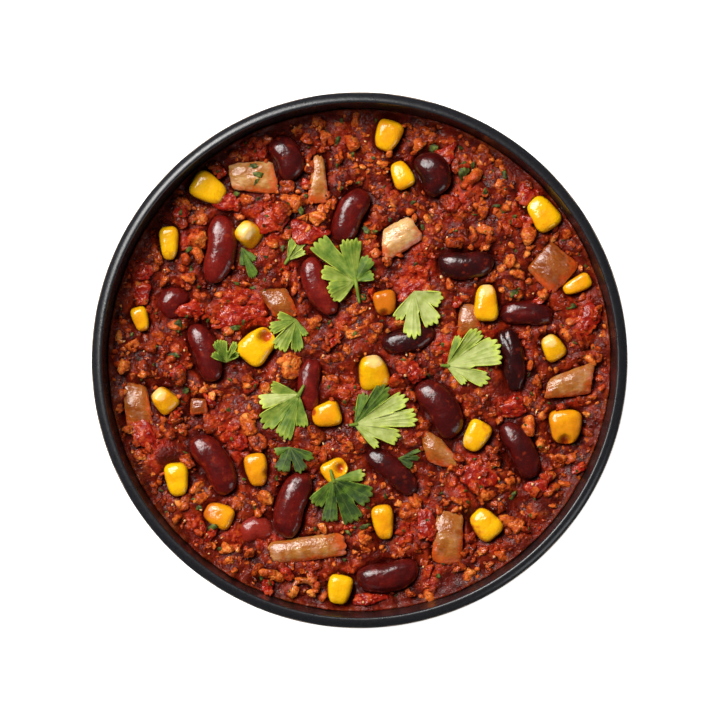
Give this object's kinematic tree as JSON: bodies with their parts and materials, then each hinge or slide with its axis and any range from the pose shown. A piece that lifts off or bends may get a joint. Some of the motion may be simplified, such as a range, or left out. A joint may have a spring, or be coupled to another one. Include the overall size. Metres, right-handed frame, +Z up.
{
  "type": "chili con carne in a bowl",
  "caption": "Chili con carne with kidney beans, sweetcorn, onion and coriander leaves in a round matte black bowl, filled to just below its rim.",
  "frame": {"origin": "centre of the bowl's flat foot, on the surface it stands on", "axes": "+Z up along the bowl's axis, +X to the right and +Y away from the viewer as the picture shows the dish from above"},
  "size_m": [0.15, 0.15, 0.058],
  "materials": {
    "stoneware": "matte black stoneware with a soft sheen",
    "stew": "wet crumbled mince in dark red tomato sauce",
    "bean": "wet dark red skin, smooth and glossy",
    "corn": "wet bright yellow kernels, smooth and glossy",
    "onion": "cooked, half clear, stained with sauce, wet",
    "leaf": "fresh coriander leaves with fine veins, soft sheen"
  },
  "bodies": {
    "root": {"bowl": "stoneware", "chili": "stew", "bean_01": "bean", "bean_02": "bean", "bean_03": "bean", "bean_04": "bean", "bean_05": "bean", "bean_06": "bean", "bean_07": "bean", "bean_08": "bean", "bean_09": "bean", "bean_10": "bean", "bean_11": "bean", "bean_12": "bean", "bean_13": "bean", "bean_14": "bean", "bean_15": "bean", "bean_16": "bean", "bean_17": "bean", "corn_01": "corn", "corn_02": "corn", "corn_03": "corn", "corn_04": "corn", "corn_05": "corn", "corn_06": "corn", "corn_07": "corn", "corn_08": "corn", "corn_09": "corn", "corn_10": "corn", "corn_11": "corn", "corn_12": "corn", "corn_13": "corn", "corn_14": "corn", "corn_15": "corn", "corn_16": "corn", "corn_17": "corn", "corn_18": "corn", "corn_19": "corn", "corn_20": "corn", "corn_21": "corn", "corn_22": "corn", "corn_23": "corn", "corn_24": "corn", "onion_01": "onion", "onion_03": "onion", "onion_04": "onion", "onion_05": "onion", "onion_07": "onion", "onion_08": "onion", "onion_09": "onion", "onion_10": "onion", "onion_11": "onion", "leaf_01": "leaf", "leaf_04": "leaf", "leaf_06": "leaf", "leaf_07": "leaf", "leaf_08": "leaf", "leaf_09": "leaf", "leaf_10": "leaf", "leaf_11": "leaf"}
  },
  "joints": []
}
